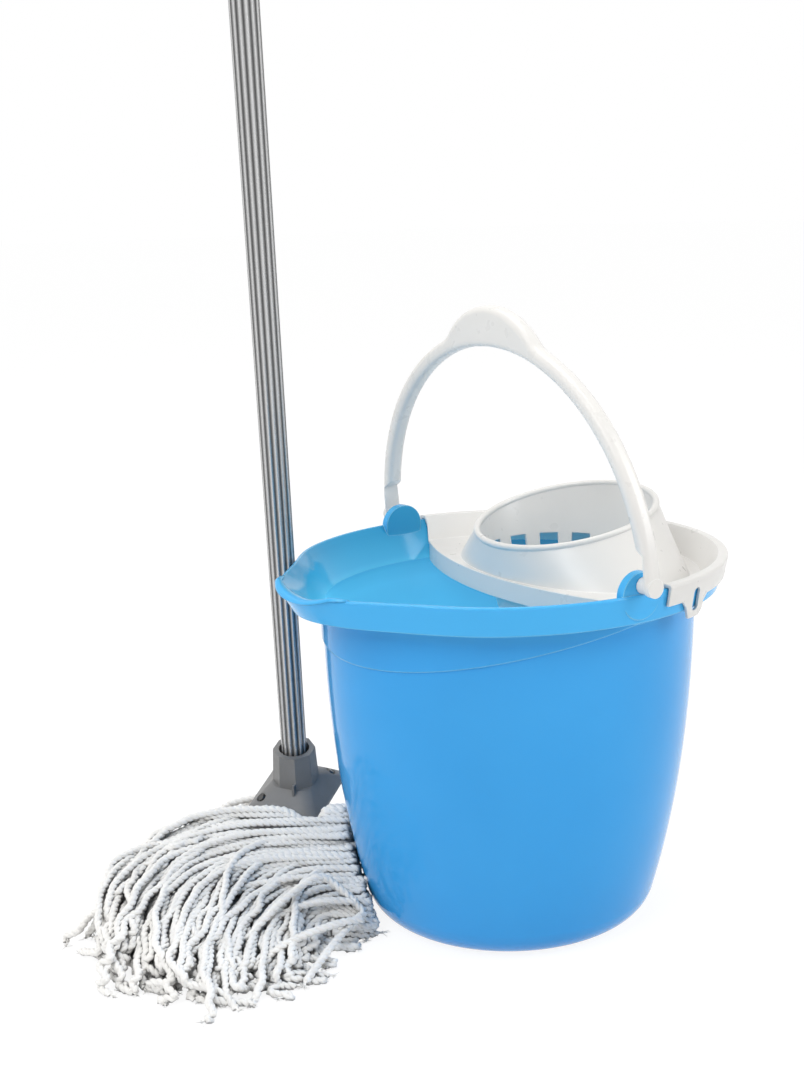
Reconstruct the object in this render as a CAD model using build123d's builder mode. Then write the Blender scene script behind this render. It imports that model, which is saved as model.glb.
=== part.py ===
"""Mop and bucket with a hook-on wringer cup, built as separate plastic, steel and yarn pieces.

Millimetres. The bucket's foot is centred on the origin and stands on Z = 0. +X runs to the
wringer end, -X to the pouring spout, and the bail turns about an axis along Y.
"""
import math
import os

from build123d import *

os.makedirs("parts", exist_ok=True)

# Bucket driving sizes
rim_height = 290
base_radius = 109
top_radius = 143.5
wall_bow = 2.6
base_stretch = 1.04
top_stretch = 1.10
wall = 2.4
floor = 4.0
foot_corner = 22
foot_pad_radius = 34
foot_ring_width = 34
foot_recess = 1.5

# Rim: an inverted channel with a flared inside and a hanging skirt
rim_half_length = 172
rim_half_width = 157.4
rim_edge = 3.2
rim_round = 1.6
skirt_drop = 21.7
skirt_taper = 4
flare_start = 261
flare_overlap = 4
spout_top_reach = 28
spout_low_reach = 17
spout_spread = 52
spout_dip = 7
spout_dip_half_width = 38

# Raised band on the outer wall, ending in a line that sweeps up from the spout to the ears
band_step = 1.6
band_low = 216
band_mid = 250.5
band_mid_x = -60
band_high = 268
band_high_x = 60

# Ears and bail
ear_radius = 17.5
ear_height = 288.5
ear_inner = 148
ear_outer = 155
pivot_height = 296.5
peg_radius = 4
peg_stop = 2
running_gap = 0.05
bail_lean = 5
bail_outer_radius = 169.5
bail_thickness = 12
bail_width = 14
bail_edge = 5
bail_tab = 5
bail_shoulder = 30
bail_shoulder_slope = (9, 6)
bail_boss_radius = 6
grip_half_width = 56
grip_lift = 19
grip_sink = 9.5
grip_blend = 22

# Wringer
fit_gap = 0.6
shell = 2.4
lip_low = 277
tab_low = 262
tab_left = 46
tab_right = 70
tab_bevel = 5
window_height = 18
window_width = 8
cap_round = 2
tray_top = 274.5
edge_reach = -15.5
edge_end_x = 24
edge_end_y = 148
apron_low = 259
cup_x = 57
cup_z = 315
cup_tilt = 12
cup_radius = 73
cup_foot_radius = 42
cup_foot_z = 196
cup_bead = 2.6
shoulder_x = 63
shoulder_half_length = 76.5
shoulder_half_width = 112
slot_count = 14
slot_width = 15.5
slot_low = 212
slot_high = 287
slot_start = 25
slot_reach = 69
blank_angle = 30
drain_radius = 5
drain_circle = 24
drain_count = 8

# Mop
stick_rim_z = 280
stick_at_rim = (-146.0, 101.6)
stick_slope = (-0.154, -0.217)
stick_mouth_z = 117
stick_length = 1100
tube_radius = 10.5
tube_wall = 0.7
crimp_radius = 2.2
crimp_depth = 0.4
crimp_rise = 9
crimp_angles = (194, 214)
spigot_radius = 8.5
spigot_length = 22
plug_length = 40
mouth_radius = 12.6
mouth_depth = 9
seat_gap = 0.4
collar_radius = 17.6
collar_foot_radius = 19.4
collar_drop = 33
skirt_long = 76
skirt_short = 62
skirt_drop_mop = 11
skirt_band = 3
skirt_dome = 0.78
skirt_corner = 9
socket_wall = 2.5
socket_turn = 37
rib_length = 6
rib_width = 2
rib_height = 14
rivet_share = 0.66
rivet_rise = 6
rivet_head_radius = 3.6
rivet_head_height = 2.2
rivet_head_taper = 22
rivet_radius = 1.8
rivet_length = 7
cap_radius = 12.4
cap_sleeve = 30
cap_wall = 2
eye_radius = 9
eye_rise = 12
eye_thickness = 8
hang_radius = 4.5

# Yarn: plan points where it reaches the floor, and how far in each layer draws
yarn_reach = (
    (-118, 50),
    (-150, -2),
    (-180, -24),
    (-241, -44),
    (-299, -28),
    (-334, 30),
    (-334, 95),
    (-300, 140),
    (-255, 172),
    (-195, 204),
    (-120, 208),
    (-76, 180),
    (-72, 128),
    (-95, 84),
)
yarn_layers = ((0, 0.96), (20, 1.0), (45, 0.84), (62, 0.6), (82, 0.28))

oval_steps = 24


def oval(height, half_length, half_width, nose=0.0):
    """A horizontal oval face with an optional rounded nose on its -X end."""
    points = []
    for step in range(oval_steps):
        turn = 2 * math.pi * step / oval_steps
        x = half_length * math.cos(turn)
        y = half_width * math.sin(turn)
        if x < 0:
            x -= nose * math.exp(-abs(y / spout_spread) ** 3)
        points.append((x, y))
    with BuildSketch(Plane.XY.offset(height)) as face:
        with BuildLine():
            Spline(*points, periodic=True)
        make_face()
    return face.sketch


def wall_half_sizes(height):
    """Half length and half width of the bucket's bowed outer wall at a height."""
    share = height / rim_height
    radius = top_radius - (top_radius - base_radius) * (1 - share) ** wall_bow
    stretch = math.sqrt(base_stretch + (top_stretch - base_stretch) * share)
    return radius * stretch, radius / stretch


def wall_oval(height, outward=0.0, foot=0.0, corner=foot_corner):
    """Section of the wall moved outward, rounded in over a corner that starts at foot."""
    half_length, half_width = wall_half_sizes(height)
    above_foot = min(height - foot, corner)
    inward = corner - math.sqrt(corner ** 2 - (corner - above_foot) ** 2)
    with BuildSketch(Plane.XY.offset(height)) as face:
        Ellipse(half_length + outward - inward, half_width + outward - inward)
    return face.sketch


def bowl_heights(foot, corner, top):
    """Section heights for a bowl: even steps round its foot corner, then even steps up its wall."""
    corner_steps = 4
    wall_steps = 5
    round_foot = []
    for step in range(corner_steps):
        angle = math.pi / 2 * step / (corner_steps - 1)
        round_foot.append(foot + corner * (1 - math.cos(angle)))
    start = round_foot[-1]
    upright = [start + (top - start) * step / (wall_steps - 1) for step in range(wall_steps)]
    return round_foot, upright


def skirt_oval(height, outward=0.0):
    """Section of the rim skirt's outer face, which leans out and grows a spout upwards."""
    share = (height - (rim_height - skirt_drop)) / skirt_drop
    lean = skirt_taper * (share - 1) + outward
    nose = spout_low_reach + (spout_top_reach - spout_low_reach) * share
    return oval(height, rim_half_length + lean, rim_half_width + lean, nose)


def flare_oval(height, inward=0.0):
    """Section of the flared inside of the rim, moved inward from its surface."""
    share = (height - flare_start) / (rim_height - flare_start)
    wall_length, wall_width = wall_half_sizes(flare_start)
    half_length = wall_length - wall + (rim_half_length - rim_edge - wall_length + wall) * share
    half_width = wall_width - wall + (rim_half_width - rim_edge - wall_width + wall) * share
    return oval(height, half_length - inward, half_width - inward, spout_top_reach * share)


skirt_low = rim_height - skirt_drop
above_rim = rim_height + flare_overlap
past_rim = rim_half_length + spout_top_reach

# Bucket body
with BuildPart() as bucket_body:
    # Raised band, trimmed below along its sweeping line
    loft(sections=[wall_oval(z, band_step) for z in (band_low, band_mid, rim_height - wall)])
    under_band = band_low - skirt_drop
    with BuildSketch(Plane.XZ):
        with BuildLine():
            spout_end = (-past_rim, band_low)
            ear_end = (band_high_x, band_high)
            ThreePointArc(spout_end, (band_mid_x, band_mid), ear_end)
            far_corners = ((past_rim, band_high), (past_rim, under_band), (-past_rim, under_band))
            Polyline(ear_end, *far_corners, spout_end)
        make_face()
    extrude(amount=2 * rim_half_width, both=True, mode=Mode.SUBTRACT)
    # Skirt, hollow underneath
    loft(sections=[skirt_oval(skirt_low), skirt_oval(rim_height)], ruled=True)
    fillet(bucket_body.edges().group_by(Axis.Z)[-1], radius=rim_round)
    skirt_space = [skirt_oval(skirt_low - 1, -wall), skirt_oval(rim_height - wall, -wall)]
    band_wall = [wall_oval(z, band_step + fit_gap) for z in (band_low, band_mid, rim_height)]
    hollow = loft(sections=skirt_space, ruled=True, mode=Mode.PRIVATE)
    keep = loft(sections=band_wall, mode=Mode.PRIVATE)
    add(hollow - keep, mode=Mode.SUBTRACT)
    # Bowed wall with a rounded foot
    for heights in bowl_heights(0, foot_corner, rim_height):
        loft(sections=[wall_oval(z) for z in heights])
    # Funnel that carries the flared inside of the rim
    funnel_low = flare_oval(flare_start - flare_overlap / 2, -wall)
    loft(sections=[funnel_low, flare_oval(rim_height, -rim_round / 2)], ruled=True)
    # Inside
    inner_corner = foot_corner - wall
    for heights in bowl_heights(floor, inner_corner, flare_start + flare_overlap):
        loft(sections=[wall_oval(z, -wall, floor, inner_corner) for z in heights], mode=Mode.SUBTRACT)
    flare_low = flare_oval(flare_start - flare_overlap)
    loft(sections=[flare_low, flare_oval(above_rim)], ruled=True, mode=Mode.SUBTRACT)
    # Dip of the pouring lip
    dip_radius = spout_dip_half_width ** 2 / (2 * spout_dip)
    with BuildSketch(Plane.YZ.offset(-rim_half_length)):
        with Locations((0, rim_height + dip_radius - spout_dip)):
            Circle(dip_radius)
    extrude(amount=-2 * spout_top_reach, mode=Mode.SUBTRACT)
    # Ears with blind pivot holes
    for side in (-1, 1):
        ear_plane = Plane(origin=(0, side * ear_inner, 0), x_dir=(1, 0, 0), z_dir=(0, side, 0))
        with BuildSketch(ear_plane):
            with Locations(ear_plane.to_local_coords(Vector(0, side * ear_inner, ear_height))):
                Circle(ear_radius)
        extrude(amount=ear_outer - ear_inner)
        with BuildSketch(ear_plane.offset(peg_stop)):
            with Locations(ear_plane.to_local_coords(Vector(0, side * ear_inner, pivot_height))):
                Circle(peg_radius + running_gap)
        extrude(amount=ear_radius, mode=Mode.SUBTRACT)
    # Recess under the floor, leaving a foot ring and a centre pad
    with BuildSketch():
        Circle(base_radius - foot_ring_width)
        Circle(foot_pad_radius, mode=Mode.SUBTRACT)
    extrude(amount=foot_recess, mode=Mode.SUBTRACT)
bucket_body.part.label = "bucket_body"
export_step(bucket_body.part, "parts/bucket_body.step")

# Bail: a half ring with a raised grip, stepped thin at the ears
lean = math.radians(bail_lean)
bail_normal = (math.cos(lean), 0, math.sin(lean))
bail_plane = Plane(origin=(0, 0, pivot_height), x_dir=(0, 1, 0), z_dir=bail_normal)
bail_inner_radius = bail_outer_radius - bail_thickness
grip_rise = bail_outer_radius + grip_lift
grip_height = grip_lift + grip_sink
grip_radius = (grip_half_width ** 2 + grip_height ** 2) / (2 * grip_height)
tab_inner = bail_outer_radius - bail_tab
boss_inner = ear_outer + fit_gap
with BuildPart() as bail_handle:
    with BuildSketch(bail_plane):
        Circle(bail_outer_radius)
        with Locations((0, grip_rise - grip_radius)):
            Circle(grip_radius)
        Circle(bail_inner_radius, mode=Mode.SUBTRACT)
        with Locations((0, -bail_outer_radius)):
            Rectangle(3 * bail_outer_radius, 2 * bail_outer_radius, mode=Mode.SUBTRACT)
    extrude(amount=bail_width / 2, both=True)
    grip_ends = bail_handle.edges().filter_by(GeomType.LINE).sort_by(Axis.Z)[-4:]
    fillet(grip_ends.filter_by(Axis((0, 0, 0), bail_normal)), radius=grip_blend)
    fillet(bail_handle.edges().filter_by(GeomType.CIRCLE), radius=bail_edge)
    # Step the legs back to thin tabs beside the ears
    slope_width, slope_rise = bail_shoulder_slope
    with BuildSketch(bail_plane):
        with BuildLine():
            Polyline(
                (-tab_inner, -bail_tab),
                (-tab_inner, bail_shoulder - slope_rise),
                (-tab_inner + slope_width, bail_shoulder),
                (tab_inner - slope_width, bail_shoulder),
                (tab_inner, bail_shoulder - slope_rise),
                (tab_inner, -bail_tab),
                close=True,
            )
        make_face()
    extrude(amount=bail_width, both=True, mode=Mode.SUBTRACT)
    # Rounded tab ends, spacer bosses and pivot pegs
    for side in (-1, 1):
        for radius, start, end in (
            (bail_width / 2, tab_inner, bail_outer_radius),
            (bail_boss_radius, boss_inner, tab_inner + fit_gap),
            (peg_radius, ear_inner + peg_stop + fit_gap, boss_inner + fit_gap),
        ):
            step_plane = Plane(origin=(0, side * start, pivot_height), x_dir=(1, 0, 0), z_dir=(0, side, 0))
            with BuildSketch(step_plane):
                Circle(radius)
            extrude(amount=end - start)
bail_handle.part.label = "bail_handle"
export_step(bail_handle.part, "parts/bail_handle.step")


def left_of_edge(shift):
    """Face to the spout side of the wringer's bowed inner edge, moved along X."""
    far = 2 * rim_half_length
    with BuildSketch() as face:
        with BuildLine():
            low_end = (edge_end_x + shift, -edge_end_y)
            high_end = (edge_end_x + shift, edge_end_y)
            ThreePointArc(low_end, (edge_reach + shift, 0), high_end)
            Polyline(high_end, (high_end[0], far), (-far, far), (-far, -far), (low_end[0], -far), low_end)
        make_face()
    return face.sketch


tilt = math.radians(cup_tilt)
lip_plane = Plane(
    origin=(cup_x, 0, cup_z),
    x_dir=(math.cos(tilt), 0, math.sin(tilt)),
    z_dir=(-math.sin(tilt), 0, math.cos(tilt)),
)


def lip_circle(radius, rise=0.0):
    """Circle on the cup's tilted lip plane, which climbs towards the wringer end."""
    with BuildSketch(lip_plane.offset(rise)) as face:
        Circle(radius)
    return face.sketch


def level_ellipse(height, centre_x, half_length, half_width):
    """Horizontal ellipse centred on the X axis."""
    with BuildSketch(Plane.XY.offset(height)) as face:
        with Locations((centre_x, 0)):
            Ellipse(half_length, half_width)
    return face.sketch


tray_low = tray_top - shell
cap_top = rim_height + fit_gap + shell

# Wringer: a saddle hooked over the rim that carries a slotted cup
with BuildPart() as wringer:
    # Cap and outer lip over the rim
    lip_outer = fit_gap + shell
    loft(sections=[skirt_oval(tab_low, lip_outer), skirt_oval(cap_top, lip_outer)], ruled=True)
    fillet(wringer.edges().group_by(Axis.Z)[-1], radius=cap_round)
    rim_space = [skirt_oval(tab_low - 1, fit_gap), skirt_oval(rim_height + fit_gap, fit_gap)]
    loft(sections=rim_space, ruled=True, mode=Mode.SUBTRACT)
    # Lip trimmed short except for one tab on each side
    with BuildSketch(Plane.XZ):
        with BuildLine():
            Polyline(
                (-past_rim, lip_low),
                (tab_left - tab_bevel, lip_low),
                (tab_left, lip_low - tab_bevel),
                (tab_left + tab_bevel, tab_low),
                (tab_right - tab_bevel, tab_low),
                (tab_right, tab_low + tab_bevel),
                (tab_right, lip_low - tab_bevel),
                (tab_right + tab_bevel, lip_low),
                (past_rim, lip_low),
                (past_rim, tab_low - tab_bevel),
                (-past_rim, tab_low - tab_bevel),
                close=True,
            )
        make_face()
    extrude(amount=2 * rim_half_width, both=True, mode=Mode.SUBTRACT)
    # D-shaped window in each tab
    with BuildSketch(Plane.XZ):
        with Locations(((tab_left + tab_right) / 2, (tab_low + rim_height) / 2)):
            SlotOverall(window_height, window_width, rotation=90)
    extrude(amount=2 * rim_half_width, both=True, mode=Mode.SUBTRACT)
    # Tray that follows the flared rim
    tray_inset = fit_gap + shell
    loft(sections=[flare_oval(tray_low, fit_gap), flare_oval(cap_top - cap_round / 10, fit_gap)], ruled=True)
    tray_space = [flare_oval(tray_top, tray_inset), flare_oval(cap_top + flare_overlap, tray_inset)]
    loft(sections=tray_space, ruled=True, mode=Mode.SUBTRACT)
    add(extrude(left_of_edge(0), amount=2 * rim_height, mode=Mode.PRIVATE), mode=Mode.SUBTRACT)
    # Shoulder shell rising to the lip, open underneath
    level_low = level_ellipse(tray_low, shoulder_x, shoulder_half_length, shoulder_half_width)
    loft(sections=[level_low, lip_circle(cup_radius)], ruled=True)
    open_length = shoulder_half_length - shell
    open_width = shoulder_half_width - shell
    level_open = level_ellipse(tray_low - fit_gap, shoulder_x, open_length, open_width)
    loft(sections=[level_open, lip_circle(cup_radius - shell, -shell)], ruled=True, mode=Mode.SUBTRACT)
    # Cup
    foot_circle = level_ellipse(cup_foot_z, cup_x, cup_foot_radius, cup_foot_radius)
    loft(sections=[foot_circle, lip_circle(cup_radius - shell / 3)], ruled=True)
    cup_floor_radius = cup_foot_radius - shell
    foot_space = level_ellipse(cup_foot_z + shell, cup_x, cup_floor_radius, cup_floor_radius)
    loft(sections=[foot_space, lip_circle(cup_radius - shell, shell)], ruled=True, mode=Mode.SUBTRACT)
    # Rolled lip
    with Locations(lip_plane):
        Torus(cup_radius - shell / 2, cup_bead)
    # Drain slots round the cup and holes in its floor
    slot_mid = (slot_low + slot_high) / 2
    for number in range(slot_count):
        turn = 360 * (number + 0.5) / slot_count
        if abs(turn - 180) < blank_angle:
            continue
        with Locations(Location((cup_x, 0, slot_mid), (0, 0, turn))):
            with Locations((slot_start, 0, 0)):
                Box(
                    slot_reach - slot_start,
                    slot_width,
                    slot_high - slot_low,
                    align=(Align.MIN, Align.CENTER, Align.CENTER),
                    mode=Mode.SUBTRACT,
                )
    with BuildSketch(Plane.XY.offset(cup_foot_z - 1)):
        with Locations((cup_x, 0)):
            Circle(drain_radius)
            with PolarLocations(drain_circle, drain_count):
                Circle(drain_radius)
    extrude(amount=3 * shell, mode=Mode.SUBTRACT)
    # Apron hanging from the bowed inner edge
    with BuildSketch(Plane.XY.offset(apron_low)):
        half_length, half_width = wall_half_sizes(flare_start)
        Ellipse(half_length - wall - fit_gap, half_width - wall - fit_gap)
        add(left_of_edge(0), mode=Mode.SUBTRACT)
        with Locations((shell, 0)):
            add(left_of_edge(0), mode=Mode.INTERSECT)
    extrude(amount=tray_top - apron_low)
wringer.part.label = "wringer"
export_step(wringer.part, "parts/wringer.step")

# Mop frame: local Z runs up the leaning stick from the socket's mouth
mouth_drop = stick_mouth_z - stick_rim_z
stick_mouth = (
    stick_at_rim[0] + stick_slope[0] * mouth_drop,
    stick_at_rim[1] + stick_slope[1] * mouth_drop,
    stick_mouth_z,
)
turn = math.radians(socket_turn)
level_x = (math.cos(turn), math.sin(turn))
level_rise = -(level_x[0] * stick_slope[0] + level_x[1] * stick_slope[1])
stick_plane = Plane(
    origin=stick_mouth,
    x_dir=(level_x[0], level_x[1], level_rise),
    z_dir=(stick_slope[0], stick_slope[1], 1),
)
tube_low = -mouth_depth + seat_gap
skirt_top = -collar_drop + skirt_band
skirt_foot = -collar_drop - skirt_drop_mop
socket_foot = skirt_foot - skirt_band


def rivet_planes():
    """Planes on two opposite ridges of the socket's skirt, facing out along each rivet."""
    planes = []
    ridge_x = rivet_share * skirt_long / 2
    ridge_y = rivet_share * skirt_short / 2
    ridge_z = skirt_foot + rivet_rise
    for side in (-1, 1):
        origin = stick_plane.from_local_coords((side * ridge_x, -side * ridge_y, ridge_z))
        outward = stick_plane.x_dir * (side * ridge_x) - stick_plane.y_dir * (side * ridge_y)
        facing = outward.normalized() + stick_plane.z_dir
        planes.append(Plane(origin=origin, z_dir=facing))
    return planes


# Socket: an eight-sided collar on a flared four-sided skirt
with BuildPart() as mop_socket:
    with BuildSketch(stick_plane):
        RegularPolygon(collar_radius, 8, rotation=22.5)
    with BuildSketch(stick_plane.offset(-collar_drop)):
        RegularPolygon(collar_foot_radius, 8, rotation=22.5)
    loft(ruled=True)
    with BuildSketch(stick_plane.offset(skirt_top)):
        RectangleRounded(2 * collar_radius, 2 * collar_radius, skirt_corner)
    with BuildSketch(stick_plane.offset((skirt_top + skirt_foot) / 2)):
        RectangleRounded(skirt_dome * skirt_long, skirt_dome * skirt_short, skirt_corner)
    with BuildSketch(stick_plane.offset(skirt_foot)):
        RectangleRounded(skirt_long, skirt_short, skirt_corner)
    loft(ruled=True)
    with BuildSketch(stick_plane.offset(skirt_foot)):
        RectangleRounded(skirt_long, skirt_short, skirt_corner)
    extrude(amount=-skirt_band)
    # Stop rib at the foot of the collar
    with Locations(stick_plane * Location((-collar_foot_radius, -collar_foot_radius / 3, skirt_top))):
        Box(rib_length, rib_width, rib_height)
    # Hollow skirt
    with BuildSketch(stick_plane.offset(socket_foot)):
        inner_long = skirt_long - 2 * socket_wall
        inner_short = skirt_short - 2 * socket_wall
        RectangleRounded(inner_long, inner_short, skirt_corner - socket_wall)
    with BuildSketch(stick_plane.offset(-collar_drop - rib_width)):
        RectangleRounded(2 * collar_radius, 2 * collar_radius - rib_width, skirt_corner - socket_wall)
    loft(ruled=True, mode=Mode.SUBTRACT)
    # Mouth and threaded bore
    with BuildSketch(stick_plane):
        Circle(mouth_radius)
    extrude(amount=-mouth_depth, mode=Mode.SUBTRACT)
    with BuildSketch(stick_plane):
        Circle(spigot_radius + running_gap)
    extrude(amount=-collar_drop - socket_wall, mode=Mode.SUBTRACT)
    # Flat seats and holes for the two rivets
    for plane in rivet_planes():
        with BuildSketch(plane):
            Circle(rivet_head_radius + fit_gap)
        extrude(amount=rivet_length, mode=Mode.SUBTRACT)
        with BuildSketch(plane):
            Circle(rivet_radius + running_gap)
        extrude(amount=-rivet_length, mode=Mode.SUBTRACT)
mop_socket.part.label = "mop_socket"
export_step(mop_socket.part, "parts/mop_socket.step")

# Two dome-headed rivets through the skirt
with BuildPart() as clamp_rivets:
    for plane in rivet_planes():
        with BuildSketch(plane.offset(running_gap)):
            Circle(rivet_head_radius)
        extrude(amount=rivet_head_height, taper=rivet_head_taper)
        with BuildSketch(plane.offset(running_gap)):
            Circle(rivet_radius)
        extrude(amount=-rivet_length)
clamp_rivets.part.label = "clamp_rivets"
export_step(clamp_rivets.part, "parts/clamp_rivets.step")

# Clamp plate that holds the yarn up inside the skirt
clamp_inset = 7.5
with BuildPart() as yarn_clamp:
    with BuildSketch(stick_plane.offset(socket_foot)):
        clamp_long = skirt_long - 2 * clamp_inset
        clamp_short = skirt_short - 2 * clamp_inset
        RectangleRounded(clamp_long, clamp_short, skirt_corner - clamp_inset)
    extrude(amount=skirt_band - fit_gap)
yarn_clamp.part.label = "yarn_clamp"
export_step(yarn_clamp.part, "parts/yarn_clamp.step")

# Steel tube with two crimp dimples near the socket
with BuildPart() as stick_tube:
    with BuildSketch(stick_plane.offset(tube_low)):
        Circle(tube_radius)
        Circle(tube_radius - tube_wall, mode=Mode.SUBTRACT)
    extrude(amount=stick_length)
    for angle in crimp_angles:
        with Locations(stick_plane * Location((0, 0, crimp_rise), (0, 0, angle))):
            with Locations((tube_radius + crimp_radius - crimp_depth, 0, 0)):
                Sphere(crimp_radius, mode=Mode.SUBTRACT)
stick_tube.part.label = "stick_tube"
export_step(stick_tube.part, "parts/stick_tube.step")

# Plug in the tube's lower end with a spigot that screws into the socket
plug_radius = tube_radius - tube_wall - running_gap
with BuildPart() as thread_plug:
    with BuildSketch(stick_plane.offset(tube_low)):
        Circle(plug_radius)
    extrude(amount=plug_length)
    with BuildSketch(stick_plane.offset(tube_low)):
        Circle(spigot_radius)
    extrude(amount=-spigot_length)
    spigot_rim = thread_plug.edges().sort_by(Axis.Z)[0]
    chamfer(spigot_rim, length=1)
thread_plug.part.label = "thread_plug"
export_step(thread_plug.part, "parts/thread_plug.step")

# Cap on the tube's upper end with a hanging eye
tube_high = tube_low + stick_length
eye_plane = Plane(
    origin=stick_plane.from_local_coords((0, 0, tube_high)),
    x_dir=stick_plane.x_dir,
    z_dir=stick_plane.x_dir.cross(stick_plane.z_dir),
)
with BuildPart() as stick_cap:
    with BuildSketch(stick_plane.offset(tube_high - cap_sleeve)):
        Circle(cap_radius)
    extrude(amount=cap_sleeve + cap_wall)
    cap_shoulder = stick_cap.edges().sort_by(Axis.Z)[-1]
    fillet(cap_shoulder, radius=cap_wall)
    with BuildSketch(eye_plane):
        with Locations((0, eye_rise / 2)):
            Rectangle(2 * eye_radius, eye_rise)
        with Locations((0, eye_rise)):
            Circle(eye_radius)
            Circle(hang_radius, mode=Mode.SUBTRACT)
    extrude(amount=eye_thickness / 2, both=True)
    with BuildSketch(stick_plane.offset(tube_high - cap_sleeve)):
        Circle(tube_radius + running_gap)
    extrude(amount=cap_sleeve + running_gap, mode=Mode.SUBTRACT)
stick_cap.part.label = "stick_cap"
export_step(stick_cap.part, "parts/stick_cap.step")


def yarn_outline(height, spread):
    """Outline of the draped yarn at a height, drawn in towards the socket's foot."""
    foot_x = stick_mouth[0] - stick_slope[0] * stick_mouth_z
    foot_y = stick_mouth[1] - stick_slope[1] * stick_mouth_z
    points = [(foot_x + (x - foot_x) * spread, foot_y + (y - foot_y) * spread) for x, y in yarn_reach]
    with BuildSketch(Plane.XY.offset(height)) as face:
        with BuildLine():
            Spline(*points, periodic=True)
        make_face()
    return face.sketch


# Draped yarn, as one soft mound under the socket
with BuildPart() as yarn_head:
    mound = [yarn_outline(height, spread) for height, spread in yarn_layers]
    loft(sections=mound, ruled=True)
    # Trimmed square to the stick just under the clamp
    with BuildSketch(stick_plane.offset(socket_foot - fit_gap)):
        Rectangle(6 * skirt_long, 6 * skirt_long)
    extrude(amount=2 * skirt_long, mode=Mode.SUBTRACT)
yarn_head.part.label = "yarn_head"
export_step(yarn_head.part, "parts/yarn_head.step")
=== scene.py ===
import math
import random

import bpy
from mathutils import Matrix, Vector


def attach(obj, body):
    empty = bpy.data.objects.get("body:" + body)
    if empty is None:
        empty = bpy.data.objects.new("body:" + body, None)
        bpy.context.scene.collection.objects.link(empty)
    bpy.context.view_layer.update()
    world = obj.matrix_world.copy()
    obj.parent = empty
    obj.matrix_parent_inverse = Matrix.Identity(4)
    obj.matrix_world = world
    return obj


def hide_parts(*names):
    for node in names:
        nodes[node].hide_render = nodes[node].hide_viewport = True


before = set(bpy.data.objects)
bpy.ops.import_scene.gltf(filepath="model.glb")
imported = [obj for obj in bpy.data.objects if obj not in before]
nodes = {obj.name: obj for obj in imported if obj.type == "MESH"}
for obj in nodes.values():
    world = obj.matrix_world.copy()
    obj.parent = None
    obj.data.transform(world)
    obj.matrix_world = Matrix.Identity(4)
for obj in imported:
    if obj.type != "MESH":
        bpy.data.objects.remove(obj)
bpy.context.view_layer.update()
scene = bpy.context.scene
random.seed(11)

MM = 0.001

# Sizes shared with the solid model, in millimetres
stick_mouth = Vector((-120.898, 136.971, 117))
stick_axis = Vector((-0.154, -0.217, 1)).normalized()
stick_across = Vector((math.cos(math.radians(37)), math.sin(math.radians(37)), 0))
stick_across = (stick_across - stick_axis * stick_across.dot(stick_axis)).normalized()
stick_side = stick_axis.cross(stick_across)
socket_drop = 47.6
yarn_root = stick_mouth - stick_axis * socket_drop

# Camera, worked out from the bucket's outline in the photo
camera_at = Vector((-749.7, -991.0, 578.5))
camera_azimuth = math.radians(33.27)
camera_pitch = math.radians(12.447)
camera_roll = math.radians(1.022)
camera_lens = 54.51
camera_sensor = 36
camera_far = 20

view_forward = Vector((
    math.sin(camera_azimuth) * math.cos(camera_pitch),
    math.cos(camera_azimuth) * math.cos(camera_pitch),
    -math.sin(camera_pitch),
))
level_right = Vector((math.cos(camera_azimuth), -math.sin(camera_azimuth), 0))
level_up = level_right.cross(view_forward)
view_right = level_right * math.cos(camera_roll) - level_up * math.sin(camera_roll)
view_up = level_right * math.sin(camera_roll) + level_up * math.cos(camera_roll)


def add_camera():
    """Camera at the photo's viewpoint."""
    data = bpy.data.cameras.new("camera")
    data.sensor_fit = "VERTICAL"
    data.sensor_height = camera_sensor
    data.lens = camera_lens
    data.clip_end = camera_far
    camera = bpy.data.objects.new("camera", data)
    turn = Matrix((view_right, view_up, -view_forward)).transposed().to_4x4()
    camera.matrix_world = Matrix.Translation(camera_at * MM) @ turn
    scene.collection.objects.link(camera)
    scene.camera = camera


add_camera()


# Shader building: rays that look for edges and gaps, and cosines between which an edge fades out
trace_samples = 6
edge_cosine = 0.86
flat_cosine = 0.985


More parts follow.
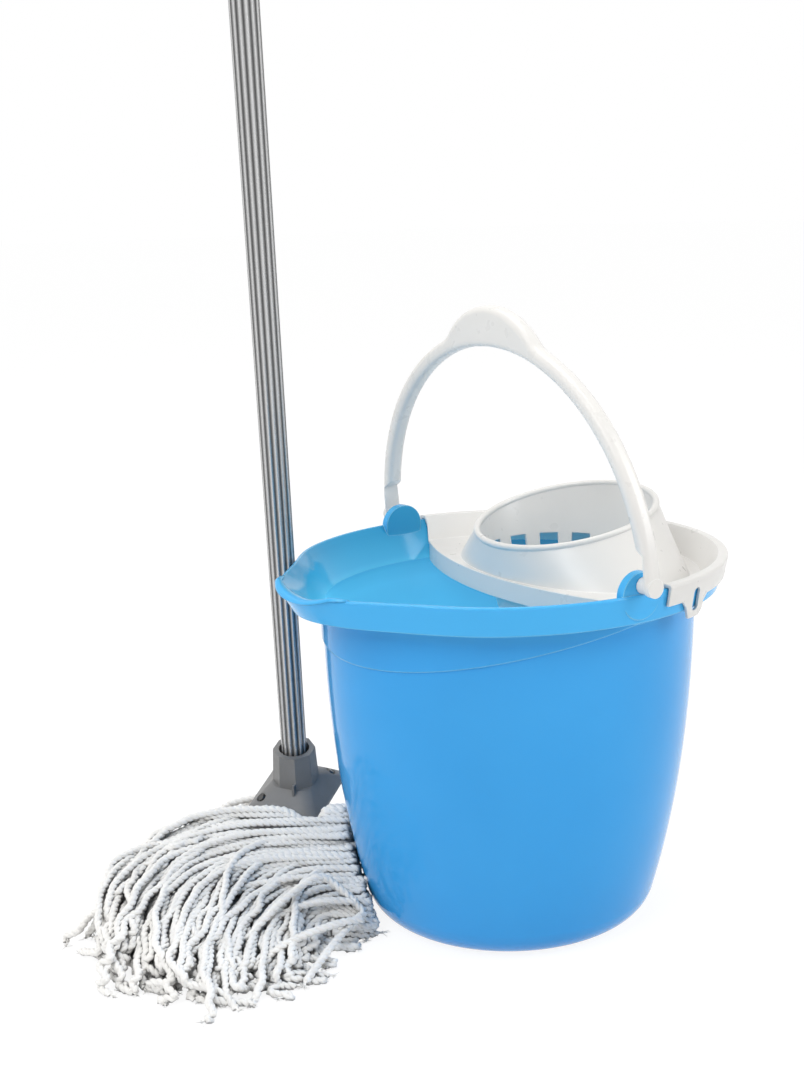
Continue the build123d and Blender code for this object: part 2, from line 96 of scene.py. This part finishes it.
class Shader:
    """Small helper that adds and joins shader nodes of one material."""

    def __init__(self, name):
        self.material = bpy.data.materials.new(name)
        self.material.use_nodes = True
        self.tree = self.material.node_tree
        self.surface = self.tree.nodes["Principled BSDF"]
        self.output = self.tree.nodes["Material Output"]

    def put(self, target, value):
        """Join a socket to another, or set it to a constant."""
        if isinstance(value, bpy.types.NodeSocket):
            self.tree.links.new(value, target)
        else:
            target.default_value = value

    def node(self, kind, **inputs):
        """Add a node of a kind and fill its inputs by name."""
        made = self.tree.nodes.new(kind)
        for name, value in inputs.items():
            self.put(made.inputs[name.replace("_", " ")], value)
        return made

    def math(self, operation, first, second=0.0):
        """One step of arithmetic."""
        made = self.tree.nodes.new("ShaderNodeMath")
        made.operation = operation
        self.put(made.inputs[0], first)
        self.put(made.inputs[1], second)
        return made.outputs[0]

    def place(self):
        """Position on the object in metres."""
        return self.tree.nodes.new("ShaderNodeTexCoord").outputs["Object"]

    def noise(self, scale, detail=3.0, vector=None):
        """Noise value about 0.5 at a scale per metre."""
        made = self.tree.nodes.new("ShaderNodeTexNoise")
        self.put(made.inputs["Vector"], vector or self.place())
        made.inputs["Scale"].default_value = scale
        made.inputs["Detail"].default_value = detail
        return made.outputs["Fac"]

    def remap(self, value, low, high, start=0.3, end=0.7):
        """Carry a value from one range to another."""
        made = self.tree.nodes.new("ShaderNodeMapRange")
        self.put(made.inputs["Value"], value)
        self.put(made.inputs["From Min"], start)
        self.put(made.inputs["From Max"], end)
        self.put(made.inputs["To Min"], low)
        self.put(made.inputs["To Max"], high)
        return made.outputs["Result"]

    def mix(self, share, first, second):
        """Blend two colours."""
        made = self.tree.nodes.new("ShaderNodeMix")
        made.data_type = "RGBA"
        self.put(made.inputs["Factor"], share)
        self.put(made.inputs[6], first)
        self.put(made.inputs[7], second)
        return made.outputs[2]

    def along(self, vector, direction):
        """How far a vector reaches along a direction."""
        made = self.tree.nodes.new("ShaderNodeVectorMath")
        made.operation = "DOT_PRODUCT"
        self.put(made.inputs[0], vector)
        self.put(made.inputs[1], direction)
        return made.outputs["Value"]

    def bump(self, height, distance, strength=1.0, normal=None):
        """Bend the surface by a height."""
        made = self.tree.nodes.new("ShaderNodeBump")
        self.put(made.inputs["Height"], height)
        made.inputs["Distance"].default_value = distance
        made.inputs["Strength"].default_value = strength
        if normal:
            self.put(made.inputs["Normal"], normal)
        return made.outputs["Normal"]

    def soft_edges(self, radius):
        """Normal with rounded edges, and a share that is 0 on flat parts and 1 on an edge."""
        rounded = self.node("ShaderNodeBevel", Radius=radius)
        rounded.samples = trace_samples
        geometry = self.tree.nodes.new("ShaderNodeNewGeometry")
        same = self.along(rounded.outputs["Normal"], geometry.outputs["Normal"])
        return rounded.outputs["Normal"], self.remap(same, 1.0, 0.0, edge_cosine, flat_cosine)

    def finish(self, **inputs):
        """Fill the main surface's inputs and hand back the material."""
        for name, value in inputs.items():
            self.put(self.surface.inputs[name.replace("_", " ")], value)
        return self.material


def grey(value):
    """Opaque neutral colour."""
    return (value, value, value, 1)


# Heights on the bucket between which its colour and its painted glow change, in metres
floor_zone = (0.04, 0.05)
painted_glow_zone = (0.245, 0.285)
rim_zone = (0.256, 0.266)

# Colours of the bucket; a pair is clouded from one to the other. The teals are painted light for the inside,
# and the cyan is a painted edge highlight
wall_blues = ((0.040, 0.322, 0.715, 1), (0.046, 0.342, 0.740, 1))
rim_blue = (0.064, 0.415, 0.800, 1)
painted_light_teals = ((0.055, 0.385, 0.610, 1), (0.062, 0.415, 0.640, 1))
painted_light_rim_teal = (0.028, 0.300, 0.540, 1)
painted_glow_teal = (0.14, 0.54, 0.75, 1)
painted_highlight_cyan = (0.34, 0.78, 0.95, 1)


def bucket_plastic():
    """Glossy blue plastic. Inside it is painted teal and given a painted glow, stronger deeper down, for
    light through its wall and against the cavity's shade; its edges carry a painted cyan highlight.
    """
    s = Shader("bucket_plastic")
    geometry = s.tree.nodes.new("ShaderNodeNewGeometry")
    parts = s.tree.nodes.new("ShaderNodeSeparateXYZ")
    s.put(parts.inputs[0], s.place())
    height = parts.outputs["Z"]
    flat = s.tree.nodes.new("ShaderNodeCombineXYZ")
    s.put(flat.inputs["X"], parts.outputs["X"])
    s.put(flat.inputs["Y"], parts.outputs["Y"])
    outward = s.along(geometry.outputs["Normal"], flat.outputs["Vector"])
    wall_inside = s.remap(outward, 1.0, 0.0, start=-0.03, end=0.02)
    upward = s.along(geometry.outputs["Normal"], (0, 0, 1))
    faces_up = s.remap(upward, 0.0, 1.0, start=0.5, end=0.9)
    near_floor = s.remap(height, 1.0, 0.0, *floor_zone)
    inside = s.math("MAXIMUM", wall_inside, s.math("MULTIPLY", faces_up, near_floor))
    # Painted glow: emission inside the bucket, stronger deeper down, lifting the cavity's shade
    glow = s.remap(height, 0.46, 0.03, *painted_glow_zone)
    cloud = s.remap(s.noise(scale=9), 0.0, 1.0)
    at_rim = s.remap(height, 0.0, 1.0, *rim_zone)
    blue = s.mix(at_rim, s.mix(cloud, *wall_blues), rim_blue)
    # Painted light: the inside gets a teal copy of the blue for light through the wall, darker near the rim
    painted_light_teal = s.mix(at_rim, s.mix(cloud, *painted_light_teals), painted_light_rim_teal)
    normal, edge = s.soft_edges(radius=0.0016)
    normal = s.bump(s.noise(scale=420, detail=2), distance=0.00002, strength=0.4, normal=normal)
    normal = s.bump(s.noise(scale=14, detail=1), distance=0.0005, strength=0.3, normal=normal)
    # Painted highlight: edges are lightened towards cyan
    painted_edge_highlight = s.math("MULTIPLY", edge, 0.6)
    return s.finish(
        Base_Color=s.mix(painted_edge_highlight, s.mix(inside, blue, painted_light_teal), painted_highlight_cyan),
        Roughness=s.remap(s.noise(scale=60), 0.07, 0.12),
        IOR=1.28,
        Specular_IOR_Level=0.5,
        Emission_Color=painted_glow_teal,
        Emission_Strength=s.math("MULTIPLY", inside, glow),
        Normal=normal,
    )


def pale_plastic(name, value, rough):
    """Off-white moulded plastic with a faint grain and painted highlights along its edges."""
    s = Shader(name)
    cloud = s.remap(s.noise(scale=16, detail=4), 0.0, 1.0)
    normal, edge = s.soft_edges(radius=0.0012)
    normal = s.bump(s.noise(scale=600, detail=2), distance=0.00002, strength=0.4, normal=normal)
    normal = s.bump(s.noise(scale=22, detail=1), distance=0.0003, strength=0.25, normal=normal)
    warm = (value, value * 0.98, value * 0.94, 1)
    cool = (value * 0.96, value * 0.945, value * 0.915, 1)
    # Painted highlight: edges are lightened towards white
    painted_edge_highlight = s.math("MULTIPLY", edge, 0.7)
    return s.finish(
        Base_Color=s.mix(painted_edge_highlight, s.mix(cloud, cool, warm), grey(0.95)),
        Roughness=s.remap(s.noise(scale=80), rough - 0.05, rough + 0.07),
        Normal=normal,
    )


def grey_plastic(name, value):
    """Matt grey moulded plastic."""
    s = Shader(name)
    cloud = s.remap(s.noise(scale=30, detail=4), 0.0, 1.0)
    return s.finish(
        Base_Color=s.mix(cloud, grey(value * 0.9), grey(value * 1.08)),
        Roughness=s.remap(s.noise(scale=150), 0.42, 0.58),
        Normal=s.bump(s.noise(scale=900, detail=2), distance=0.00008, strength=0.6),
    )


def stick_steel():
    """Bright plated tube with rolled flutes along its length, painted shade in their grooves, and fine
    scratches.
    """
    flutes = 14
    streak_stretch = 2.0
    s = Shader("stick_steel")
    spot = s.place()
    origin = stick_mouth * MM
    along_across = s.math("SUBTRACT", s.along(spot, stick_across), origin.dot(stick_across))
    along_side = s.math("SUBTRACT", s.along(spot, stick_side), origin.dot(stick_side))
    angle = s.math("ARCTAN2", along_side, along_across)
    wave = s.math("SINE", s.math("MULTIPLY", angle, flutes))
    rise = s.along(spot, stick_axis)
    stretched = s.math("MULTIPLY", rise, streak_stretch)
    streak_at = s.node("ShaderNodeCombineXYZ", X=angle, Y=stretched).outputs[0]
    streak = s.noise(scale=26, detail=4, vector=streak_at)
    normal = s.bump(wave, distance=0.0007, strength=0.9)
    normal = s.bump(streak, distance=0.0001, strength=0.4, normal=normal)
    # Painted shade: the colour is dark in the grooves of the flutes and light on their ridges
    painted_groove_shade = s.remap(wave, 0.07, 0.58, start=-1.0, end=0.7)
    tone = s.node("ShaderNodeCombineColor", Red=painted_groove_shade, Green=painted_groove_shade, Blue=painted_groove_shade).outputs[0]
    return s.finish(
        Base_Color=tone,
        Metallic=0.5,
        Roughness=s.remap(streak, 0.2, 0.34),
        Normal=normal,
    )


def rivet_steel():
    """Plain steel with small dents."""
    # Very dark steel with small dents; the dark colour is painted shade for the shadowed ring round the
    # rivet head.
    s = Shader("rivet_steel")
    return s.finish(
        Base_Color=grey(0.12),
        Metallic=1.0,
        Roughness=s.remap(s.noise(scale=300), 0.22, 0.4),
        Normal=s.bump(s.noise(scale=700, detail=2), distance=0.0001, strength=0.5),
    )


def cotton_tint(value):
    """Faintly warm white of a brightness."""
    return (value, value * 0.985, value * 0.955, 1)


def yarn_cotton(name, pale, dark, painted_gap_shade):
    """Fuzzy cotton with soft clouding from wear, and painted shade in the gaps between strands."""
    s = Shader(name)
    cloud = s.remap(s.noise(scale=55, detail=4), 0.0, 1.0)
    fibre = s.noise(scale=1500, detail=3)
    open_share = s.node("ShaderNodeAmbientOcclusion", Distance=0.012)
    open_share.samples = trace_samples
    # Painted shade: ambient occlusion darkens the colour where strands close in
    unshaded_share = s.remap(open_share.outputs["AO"], 0.0, 1.0, start=0.10, end=0.5)
    worn = s.mix(cloud, cotton_tint(dark), cotton_tint(pale))
    return s.finish(
        Base_Color=s.mix(unshaded_share, cotton_tint(painted_gap_shade), worn),
        Roughness=0.95,
        Sheen_Weight=0.3,
        Sheen_Roughness=0.6,
        Normal=s.bump(fibre, distance=0.0006, strength=0.8),
    )


def dress(node, material):
    """Give a solid its material."""
    piece = nodes[node]
    piece.data.materials.clear()
    piece.data.materials.append(material)


dress("bucket_body", bucket_plastic())
dress("bail_handle", pale_plastic("bail_plastic", 0.73, 0.3))
dress("wringer", pale_plastic("wringer_plastic", 0.69, 0.32))
dress("mop_socket", grey_plastic("socket_plastic", 0.19))
dress("yarn_clamp", grey_plastic("clamp_plastic", 0.14))
dress("stick_cap", grey_plastic("cap_plastic", 0.15))
dress("thread_plug", grey_plastic("plug_plastic", 0.12))
dress("stick_tube", stick_steel())
dress("clamp_rivets", rivet_steel())


# Rolled lip of the spout, which closes the rim's channel along the dip, in millimetres
rim_height = 290
rim_half_length = 172
rim_half_width = 157.4
spout_reach = 28
spout_spread = 52
spout_dip = 7
spout_dip_half_width = 38
flare_start = 261
flare_low_half_length = 147
flare_low_half_width = 134.5
flare_gain_length = 21.8
flare_gain_width = 19.7
skirt_height = 21.7
skirt_taper = 4
skirt_spout_taper = 11
lip_half_width = 46
lip_round = 2.2
lip_sink = 0.8
lip_wall = 1.5


def spout_x(half_length, half_width, nose, y):
    """How far an oval with a spout nose reaches to -X at a Y."""
    round_part = half_length * math.sqrt(1 - (y / half_width) ** 2)
    return -(round_part + nose * math.exp(-abs(y / spout_spread) ** 3))


def spout_rim(y):
    """Inner edge, outer edge and height of the dipped rim at a Y."""
    dip_radius = spout_dip_half_width ** 2 / (2 * spout_dip)
    dip_height = rim_height - spout_dip + dip_radius - math.sqrt(dip_radius ** 2 - y ** 2)
    height = min(rim_height, dip_height)
    flare = (height - flare_start) / (rim_height - flare_start)
    skirt = (height - rim_height) / skirt_height
    flare_half_length = flare_low_half_length + flare_gain_length * flare
    flare_half_width = flare_low_half_width + flare_gain_width * flare
    skirt_half_length = rim_half_length + skirt_taper * skirt
    skirt_half_width = rim_half_width + skirt_taper * skirt
    inner = spout_x(flare_half_length, flare_half_width, spout_reach * flare, y)
    outer = spout_x(skirt_half_length, skirt_half_width, spout_reach + skirt_spout_taper * skirt, y)
    return inner, outer, height


def add_spout_lip(material):
    """A rounded strip along the dip of the spout."""
    across = 7
    along = 41
    points = []
    for i in range(along):
        y = lip_half_width * (2 * i / (along - 1) - 1)
        inner, outer, height = spout_rim(y)
        fade = 1 - (y / lip_half_width) ** 4
        middle_x = (inner + outer) / 2
        half = abs(inner - outer) / 2
        for j in range(across):
            angle = math.pi * j / (across - 1)
            x = middle_x + half * math.cos(angle)
            z = height - lip_sink + lip_round * fade * math.sin(angle)
            points.append((x * MM, y * MM, z * MM))
    faces = []
    for i in range(along - 1):
        for j in range(across - 1):
            first = i * across + j
            faces.append((first, first + 1, first + across + 1, first + across))
    mesh = bpy.data.meshes.new("spout_lip")
    mesh.from_pydata(points, [], faces)
    for face in mesh.polygons:
        face.use_smooth = True
    lip = bpy.data.objects.new("spout_lip", mesh)
    scene.collection.objects.link(lip)
    thick = lip.modifiers.new("thick", "SOLIDIFY")
    thick.thickness = lip_wall * MM
    thick.offset = -1
    mesh.materials.append(material)
    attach(lip, "bucket")


add_spout_lip(nodes["bucket_body"].data.materials[0])


# Yarn: strands, in millimetres
ply_radius = 2.2
ply_offset = 1.2
twist_pitch = 11
point_step = 2.4
floor_rest = 3.5
wall_gap = 4.2
front_strands = 210
back_strands = 64
side_strands = 40
full_turn = 6.28  # radians, rounded; the random draws follow from this value

# Yarn: room below the socket's skirt
skirt_half_long = 38
skirt_half_short = 31
skirt_gap = 0.6
plain_climb = 1.0
swept_climb = 2.4

# Yarn: outlines on the floor and heights of the mound over shares of the way out
front_outline = (
    (-318, 122), (-334, 95), (-336, 30), (-299, -28), (-241, -44), (-203, -16), (-146, 15),
)
side_outline = ((-146, 15), (-118, 50), (-95, 84), (-74, 128))
back_outline = (
    (-318, 122), (-300, 140), (-255, 172), (-195, 204), (-120, 208), (-76, 180), (-72, 128),
)
whole_outline = front_outline + side_outline[1:3] + tuple(reversed(back_outline[1:]))
mound_profile = (
    (0.0, 76.0), (0.28, 72.0), (0.6, 60.0), (0.84, 45.0), (0.95, 26.0), (1.0, 8.0), (1.1, 0.0),
)

# Yarn: swept strands, whose lane runs from 0 at the top of the mound to 1 at the floor in front
arch_top = 73
arch_lane_drop = 66
arch_hump = 5
hump_until = 0.7
fall_from = 0.36
root_height_share = 0.4
root_until = 0.2
root_right = (6, 20)
root_near = (4, 22)
turn_right_top = 58
turn_right_gain = 8
turn_right_give = 5
turn_near_top = 48
turn_near_gain = 82
turn_near_give = 6
level_left = (0.3, 0.62)
level_near = 0.03
bow_left = (0.82, 0.96)
bow_near = (0.16, 0.28)
end_turn = 0.4
front_sink = 0.45
tidy_share = 0.65
tidy_stray = 0.09
messy_stray = 0.28
swept_reach = (0.7, 0.95)
hook_size = (6, 28)

# Yarn: plain strands at the back and beside the bucket
plain_reach = (0.88, 1.0)
plain_root = (4, 20)
plain_bend = 18
bend_at = (0.33, 0.66)
side_top = 0.55

# Yarn: waves along a strand
least_wobble = 2
wobble_gain = 13
wave_count = (1.5, 3.0)
root_wave = 0.2
crinkle_size = 0.7
crinkle_rate = 5
ripple_height = 2.2
ripple_rate = 11

# Yarn: frayed ends
fray_fibres = 9
fray_radius = 0.55
fray_length = (4, 10)
fray_overlap = 3
fray_spread = 0.35
fray_rest = 0.8
fray_tip = 0.3
taper_points = 3

picture_left = -level_right.xy
picture_near = -view_forward.xy.normalized()
root_plan = yarn_root.xy


def either_way(size):
    """A random distance to one side or the other."""
    return random.uniform(-size, size)


def along_outline(outline, share):
    """Point a share of the way along a line of plan points."""
    points = [Vector(point) for point in outline]
    lengths = [(b - a).length for a, b in zip(points, points[1:])]
    left = share * sum(lengths)
    for a, b, length in zip(points, points[1:], lengths):
        if left <= length:
            return a.lerp(b, left / length)
        left -= length
    return points[-1]


def outline_reach(direction):
    """Distance from the yarn's root to its outline on the floor in a direction."""
    best = 1.0
    count = len(whole_outline)
    for i in range(count):
        a = Vector(whole_outline[i]) - root_plan
        b = Vector(whole_outline[(i + 1) % count]) - root_plan
        edge = b - a
        cross = direction.x * edge.y - direction.y * edge.x
        if abs(cross) < 1e-9:
            continue
        far = (a.x * edge.y - a.y * edge.x) / cross
        share = (a.x * direction.y - a.y * direction.x) / cross
        if far > 0 and 0 <= share <= 1:
            best = max(best, far)
    return best


def mound_height(spot):
    """Height of the yarn mound over a plan point."""
    offset = spot - root_plan
    distance = max(offset.length, 0.001)
    share = distance / outline_reach(offset / distance)
    for (low, first), (high, second) in zip(mound_profile, mound_profile[1:]):
        if low <= share <= high:
            return first + (second - first) * (share - low) / (high - low)
    return 0.0


def skirt_limit(spot, climb):
    """Greatest height of a strand over a plan point that stays clear of the socket's skirt."""
    offset = spot - root_plan
    level = yarn_root.z - (stick_axis.x * offset.x + stick_axis.y * offset.y) / stick_axis.z
    flat = offset.to_3d()
    outside_long = abs(flat.dot(stick_across)) - skirt_half_long
    outside_short = abs(flat.dot(stick_side)) - skirt_half_short
    outside = max(outside_long, outside_short, 0.0)
    return level - ply_radius - ply_offset - skirt_gap + climb * outside


def arch_height(lane, share):
    """Height along a swept strand: level beside the bucket, a low hump, then a rounded fall."""
    level = arch_top - arch_lane_drop * lane
    hump = arch_hump * math.sin(math.pi * min(1.0, share / hump_until))
    fall = max(0.0, share - fall_from) / (1 - fall_from)
    sunk = root_height_share + (1 - root_height_share) * min(1.0, share / root_until)
    return (level + hump) * math.cos(math.pi / 2 * fall) * sunk


def even_path(path, step):
    """The same path with points a fixed step apart."""
    made = [path[0].copy()]
    carry = 0.0
    for a, b in zip(path, path[1:]):
        length = (b - a).length
        spot = step - carry
        while spot < length:
            made.append(a.lerp(b, spot / length))
            spot += step
        carry = length - (spot - step)
    return made


def smooth_path(points, rounds=3):
    """Rounded path through a few points."""
    spots = [Vector(point) for point in points]
    for number in range(rounds):
        cut = [spots[0]]
        for a, b in zip(spots, spots[1:]):
            cut.append(a.lerp(b, 0.25))
            cut.append(a.lerp(b, 0.75))
        cut.append(spots[-1])
        spots = cut
    return spots


def beside_bucket(spot):
    """The same point, or the nearest one that is clear of the bucket's wall."""
    bucket = nodes["bucket_body"]
    local = bucket.matrix_world.inverted() @ (spot * MM)
    nearest, normal = bucket.closest_point_on_mesh(local)[1:3]
    away = spot * MM - bucket.matrix_world @ nearest
    outward = bucket.matrix_world.to_3x3() @ normal
    if away.dot(outward) > wall_gap * MM:
        return spot
    clear = (bucket.matrix_world @ nearest + outward * wall_gap * MM) / MM
    return Vector((clear.x, clear.y, max(floor_rest, clear.z)))


def draped(plan_path, depth, wobble, lane=None):
    """Path along a plan path, over the mound or on a lane's arch, that waves more towards its end."""
    phase = random.uniform(0, full_turn)
    waves = random.uniform(*wave_count)
    chord = (plan_path[-1] - plan_path[0]).normalized()
    side = Vector((-chord.y, chord.x))
    climb = plain_climb if lane is None else swept_climb
    last = len(plan_path) - 1
    path = []
    for step, spot in enumerate(plan_path):
        share = step / last
        wave = math.sin(phase + waves * full_turn * share) * (root_wave + (1 - root_wave) * share ** 1.5)
        crinkle_turn = 2 * phase + crinkle_rate * waves * full_turn * share
        crinkle = crinkle_size * math.sin(crinkle_turn) * share ** 3
        plan = spot + side * wobble * (wave + crinkle)
        height = mound_height(plan) if lane is None else arch_height(lane, share)
        height = height * depth + ripple_height * math.sin(phase + ripple_rate * share)
        height = min(height, skirt_limit(plan, climb))
        path.append(beside_bucket(Vector((plan.x, plan.y, max(floor_rest, height)))))
    return path


def wobble_size():
    """How far a strand waves: mostly little, now and then a lot."""
    return least_wobble + wobble_gain * random.random() ** 2


def strand_depth(top, sink):
    """How high a strand lies as a share of the mound's height, with most strands near the top."""
    return top - sink * random.random() ** 1.5


def swept_strand(lane):
    """A strand that turns back beside the bucket, runs to the picture's left and falls to the front."""
    root = root_plan - picture_left * random.uniform(*root_right) + picture_near * random.uniform(*root_near)
    turn_right = turn_right_top + turn_right_gain * lane + either_way(turn_right_give)
    turn_near = turn_near_top + turn_near_gain * lane + either_way(turn_near_give)
    start = root_plan - picture_left * turn_right + picture_near * turn_near
    stray = tidy_stray if random.random() < tidy_share else messy_stray
    end = along_outline(front_outline, min(1.0, max(0.0, lane + either_way(stray))))
    end = root_plan + (end - root_plan) * random.uniform(*swept_reach)
    hook_turn = random.uniform(0, full_turn)
    hook = Vector((math.cos(hook_turn), math.sin(hook_turn))) * random.uniform(*hook_size)
    left = picture_left * (end - start).dot(picture_left)
    near = picture_near * (end - start).dot(picture_near)
    bow = start + left * random.uniform(*bow_left) + near * random.uniform(*bow_near)
    level_run = [start + left * level_left[0], start + left * level_left[1] + near * level_near]
    return smooth_path([root, start] + level_run + [bow, end - near * end_turn, end, end + hook])


def plain_strand(outline):
    """A strand that runs straight out from under the socket to an outline."""
    end = along_outline(outline, random.random())
    end = root_plan + (end - root_plan) * random.uniform(*plain_reach)
    start = root_plan + (end - root_plan).normalized() * random.uniform(*plain_root)
    bend = Vector((either_way(plain_bend), either_way(plain_bend)))
    bent = [start.lerp(end, share) + bend for share in bend_at]
    return smooth_path([start] + bent + [end])


class StrandSet:
    """Collects strands into one curve object."""

    def __init__(self, name, radius):
        self.data = bpy.data.curves.new(name, "CURVE")
        self.data.dimensions = "3D"
        self.data.bevel_depth = radius * MM
        self.data.bevel_resolution = 1
        self.data.use_fill_caps = True
        self.name = name

    def line(self, points, ends=0.85):
        """Add one smooth line, thinner at its far end."""
        spline = self.data.splines.new("POLY")
        spline.points.add(len(points) - 1)
        last = len(points) - 1
        for i, point in enumerate(points):
            spline.points[i].co = (point.x * MM, point.y * MM, point.z * MM, 1)
            from_end = min(taper_points, last - i)
            spline.points[i].radius = ends + (1 - ends) * from_end / taper_points

    def twisted(self, path, plies=2):
        """Add plies wound round a path."""
        start = random.uniform(0, full_turn)
        spots = even_path(path, point_step)
        lines = [[] for ply in range(plies)]
        across = Vector((0, 0, 1))
        for i, spot in enumerate(spots):
            ahead = spots[min(i + 1, len(spots) - 1)] - spots[max(i - 1, 0)]
            ahead.normalize()
            across = (across - ahead * across.dot(ahead)).normalized()
            side = ahead.cross(across)
            turn = start + 2 * math.pi * i * point_step / twist_pitch
            for ply in range(plies):
                angle = turn + 2 * math.pi * ply / plies
                out = across * math.cos(angle) + side * math.sin(angle)
                lines[ply].append(spot + out * ply_offset)
        for points in lines:
            self.line(points)

    def make(self, material):
        """Turn the curve into a mesh piece."""
        holder = bpy.data.objects.new(self.name + "_curve", self.data)
        scene.collection.objects.link(holder)
        graph = bpy.context.evaluated_depsgraph_get()
        mesh = bpy.data.meshes.new_from_object(holder.evaluated_get(graph))
        bpy.data.objects.remove(holder)
        for face in mesh.polygons:
            face.use_smooth = True
        mesh.materials.clear()
        mesh.materials.append(material)
        piece = bpy.data.objects.new(self.name, mesh)
        scene.collection.objects.link(piece)
        return piece


def picture_spot(left, near, height):
    """Point left of the yarn's root in the picture, nearer to the viewer, and above the floor."""
    plan = root_plan + picture_left * left + picture_near * near
    return Vector((plan.x, plan.y, height))


# Loose strands that lie over the others: a bent loop near the bucket and three across it
loose_strands = (
    (
        (30, 166, 20), (12, 146, 34), (-5, 132, 44), (-20, 124, 51),
        (-27, 120, 50), (-35, 118, 43), (-48, 122, 32), (-58, 126, 22),
    ),
    ((-57, 144, 25), (-40, 154, 27), (-20, 166, 26), (0, 177, 22), (14, 184, 14)),
    ((-58, 134, 25), (-45, 150, 21), (-30, 176, 13), (-16, 208, 6)),
    ((-52, 124, 30), (-25, 129, 34), (0, 137, 30), (22, 150, 20)),
)


def add_frays(frays, path):
    """Loose fibres at a strand's end."""
    tip = path[-1]
    ahead = (path[-1] - path[-4]).normalized()
    for fibre in range(fray_fibres):
        stray = Vector((either_way(1), either_way(1), random.uniform(-0.4, 0.6)))
        half_length = random.uniform(*fray_length) / 2
        middle = tip + (ahead + stray * fray_spread).normalized() * half_length
        end = middle + (ahead / 2 + stray).normalized() * half_length
        points = [tip - ahead * fray_overlap, middle, end]
        frays.line([Vector((p.x, p.y, max(fray_rest, p.z))) for p in points], fray_tip)


def add_yarn():
    """All strands and their frayed ends, which stand in for the mound of the solid model."""
    cotton = yarn_cotton("yarn_cotton", pale=0.95, dark=0.86, painted_gap_shade=0.07)
    strands = StrandSet("yarn_strands", ply_radius)
    frays = StrandSet("yarn_frays", fray_radius)
    paths = []
    for number in range(front_strands):
        lane = number / (front_strands - 1)
        depth = strand_depth(1.0, front_sink)
        paths.append(draped(swept_strand(lane), depth, wobble_size(), lane))
    for outline, count, top in ((back_outline, back_strands, 1.0), (side_outline, side_strands, side_top)):
        for number in range(count):
            depth = strand_depth(top, top / 2)
            paths.append(draped(plain_strand(outline), depth, wobble_size()))
    for spots in loose_strands:
        paths.append(smooth_path([picture_spot(*spot) for spot in spots]))
    for path in paths:
        strands.twisted(path)
        add_frays(frays, path)
    for holder in (strands, frays):
        piece = holder.make(cotton)
        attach(piece, "mop")
        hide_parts("yarn_head")


add_yarn()


# Stage, in metres and watts
floor_size = 30
floor_glow = 1.12
floor_glow_share = 0.8
dim_at = -0.2
dim_strength = 0.25
bright_at = 0.8
bright_strength = 1.05
light_target = (-0.08, 0.03, 0.2)
lights = (
    ("key", (-1.6, -0.7, 1.7), (0.9, 1.2), 18),
    ("fill", (1.2, -1.5, 1.2), (0.7, 1.6), 22),
    ("top", (0.1, 0.3, 2.4), (1.4, 1.4), 20),
)


def seen_ray(tree):
    """1 for rays that show the background itself, straight or in a reflection."""
    rays = tree.nodes.new("ShaderNodeLightPath")
    either = tree.nodes.new("ShaderNodeMath")
    either.operation = "MAXIMUM"
    tree.links.new(rays.outputs["Is Camera Ray"], either.inputs[0])
    tree.links.new(rays.outputs["Is Glossy Ray"], either.inputs[1])
    return either.outputs[0]


def add_floor():
    """Plain pale floor that looks white apart from soft contact shadows."""
    bpy.ops.mesh.primitive_plane_add(size=floor_size)
    floor = bpy.context.object
    floor.name = "floor"
    s = Shader("floor")
    s.finish(Base_Color=grey(0.9), Roughness=0.9)
    glow = s.node("ShaderNodeEmission", Color=grey(1.0), Strength=floor_glow)
    blend = s.tree.nodes.new("ShaderNodeMixShader")
    s.put(blend.inputs[0], s.math("MULTIPLY", seen_ray(s.tree), floor_glow_share))
    s.put(blend.inputs[1], s.surface.outputs[0])
    s.put(blend.inputs[2], glow.outputs[0])
    s.put(s.output.inputs["Surface"], blend.outputs[0])
    floor.data.materials.append(s.material)


def add_world():
    """White surroundings, which light the object more from the picture's left."""
    world = bpy.data.worlds.new("studio")
    scene.world = world
    world.use_nodes = True
    tree = world.node_tree
    room = tree.nodes["Background"]
    room.inputs["Color"].default_value = grey(1.0)
    facing = tree.nodes.new("ShaderNodeVectorMath")
    facing.operation = "DOT_PRODUCT"
    tree.links.new(tree.nodes.new("ShaderNodeTexCoord").outputs["Generated"], facing.inputs[0])
    facing.inputs[1].default_value = -level_right
    share = tree.nodes.new("ShaderNodeMapRange")
    tree.links.new(facing.outputs["Value"], share.inputs["Value"])
    share.inputs["From Min"].default_value = dim_at
    share.inputs["From Max"].default_value = bright_at
    share.inputs["To Min"].default_value = dim_strength
    share.inputs["To Max"].default_value = bright_strength
    tree.links.new(share.outputs["Result"], room.inputs["Strength"])
    white = tree.nodes.new("ShaderNodeBackground")
    blend = tree.nodes.new("ShaderNodeMixShader")
    tree.links.new(seen_ray(tree), blend.inputs[0])
    tree.links.new(room.outputs[0], blend.inputs[1])
    tree.links.new(white.outputs[0], blend.inputs[2])
    white.inputs["Color"].default_value = grey(1.0)
    tree.links.new(blend.outputs[0], tree.nodes["World Output"].inputs["Surface"])


def add_light(name, place, size, power):
    """Soft area light aimed at the object."""
    data = bpy.data.lights.new(name, "AREA")
    data.shape = "RECTANGLE"
    data.size = size[0]
    data.size_y = size[1]
    data.energy = power
    lamp = bpy.data.objects.new(name, data)
    lamp.location = place
    lamp.rotation_euler = (Vector(light_target) - Vector(place)).to_track_quat("-Z", "Y").to_euler()
    scene.collection.objects.link(lamp)


add_floor()
add_world()
for name, place, size, power in lights:
    add_light(name, place, size, power)

scene.view_settings.view_transform = "Standard"
